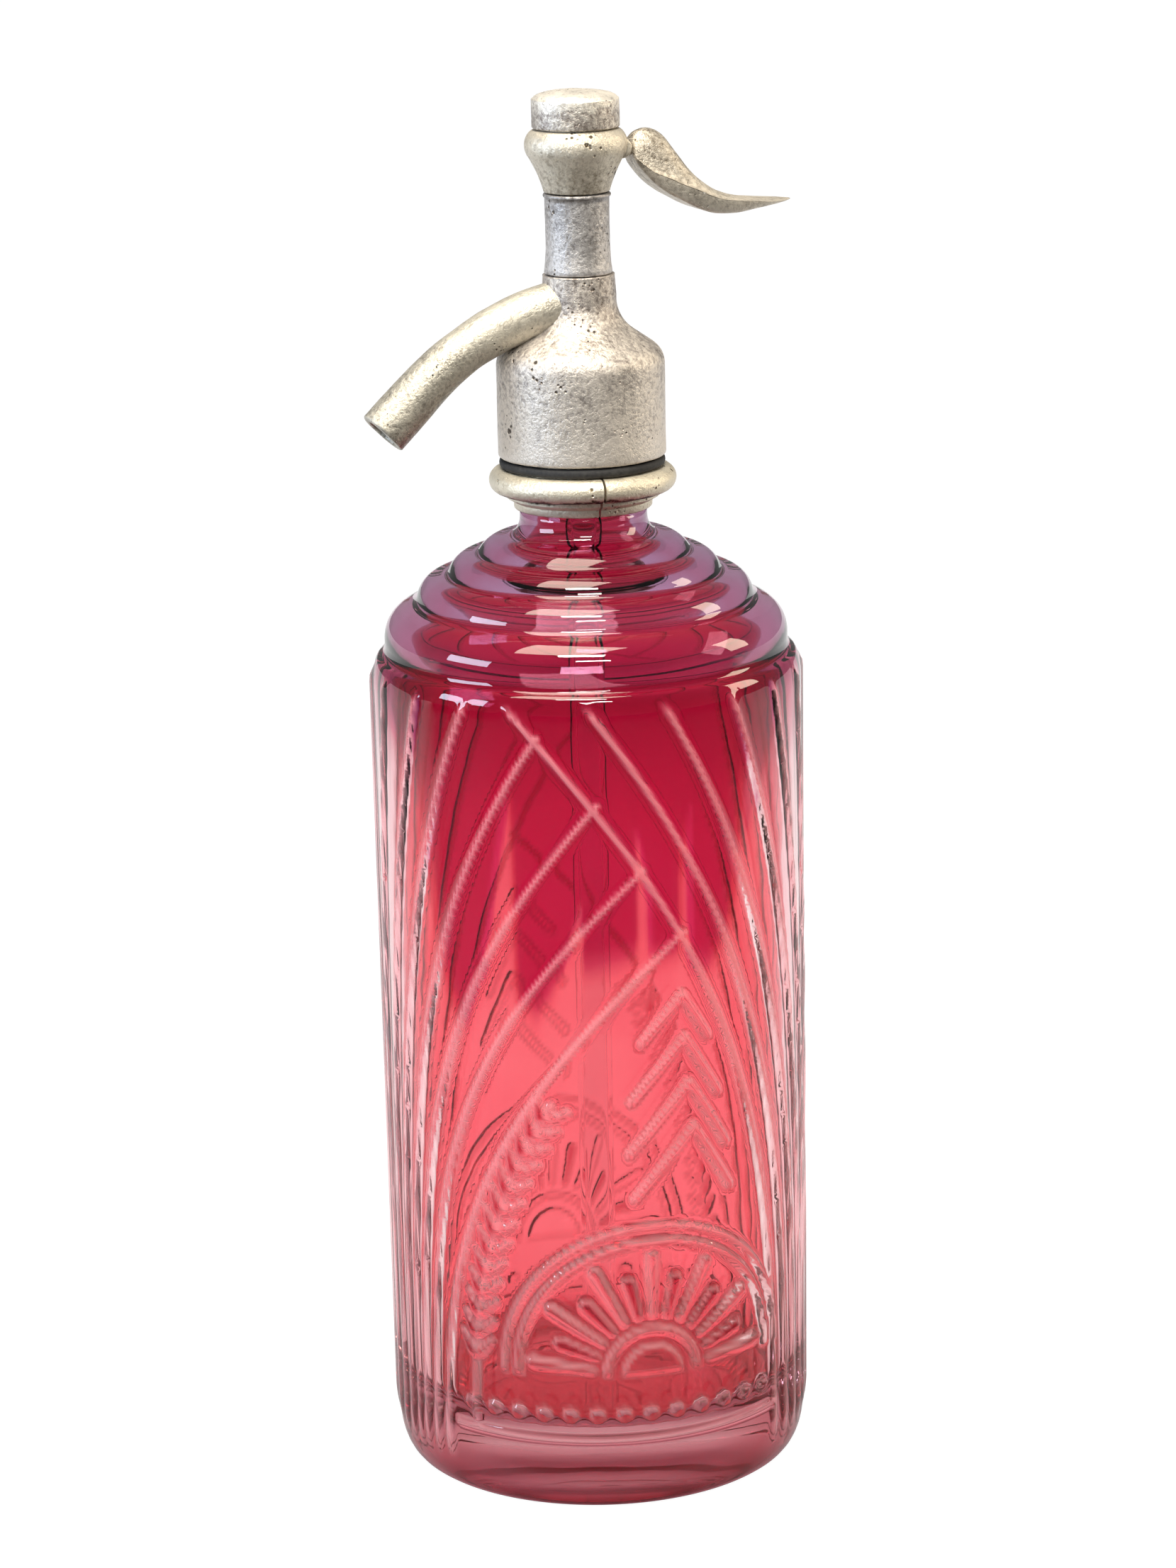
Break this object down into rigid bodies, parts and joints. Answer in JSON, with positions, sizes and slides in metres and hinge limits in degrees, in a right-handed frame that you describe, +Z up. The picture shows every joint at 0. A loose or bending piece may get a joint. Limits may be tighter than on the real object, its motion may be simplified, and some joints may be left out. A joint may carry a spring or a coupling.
{
  "type": "soda siphon",
  "caption": "Vintage pressed-glass soda siphon with a cast pewter head: dip tube, sprung valve, downturned spout and duck-tail lever.",
  "frame": {"origin": "centre of the base on the bottle's axis, on the surface that it stands on", "axes": "+Z up along the bottle's axis; the spout points to -X and the lever to +X"},
  "size_m": [0.101, 0.0984, 0.3152],
  "materials": {
    "crimson_glass": "clear pressed glass, crimson above and salmon pink below",
    "clear_glass": "plain drawn glass tube",
    "pewter": "dull, pitted tin-lead casting",
    "pale_pewter": "pale, worn tin-lead casting",
    "brass": "turned",
    "spring_steel": "drawn wire and rod",
    "black_rubber": "matt",
    "packing_fibre": "greased fibre"
  },
  "bodies": {
    "siphon": {"bottle": "crimson_glass", "dip_tube": "clear_glass", "tube_bush": "black_rubber", "tube_nut": "brass", "mouth_gasket": "black_rubber", "collar_left": "pale_pewter", "collar_right": "pale_pewter", "collar_seal": "black_rubber", "head_body": "pewter", "spout": "pewter", "valve_seat": "brass", "stem_packing": "packing_fibre", "packing_gland": "brass", "column_sleeve": "pewter", "lever_housing": "pewter", "lever_pin": "spring_steel", "valve_spring": "spring_steel", "cap_washer": "packing_fibre", "cap": "pewter"},
    "lever": {"lever": "pewter"},
    "valve": {"valve_stem": "brass", "lift_block": "brass", "valve_rubber": "black_rubber", "rubber_screw": "brass"}
  },
  "joints": [
    {"name": "lever_hinge", "type": "hinge", "parent": "siphon", "child": "lever", "pos_m": [0.0096, 0, 0.3021], "axis": [0, 1, 0], "range_deg": [0, 14], "stiffness_Nm_per_rad": 0.5, "springref_deg": -28.07},
    {"name": "valve_lift", "type": "slide", "parent": "siphon", "child": "valve", "axis": [0, 0, 1], "range_m": [0, 0.00236], "deforming": ["valve_spring"]}
  ],
  "couplings": [
    {"joint": "valve_lift", "follows": "lever_hinge", "m_per_rad": 0.0096}
  ]
}
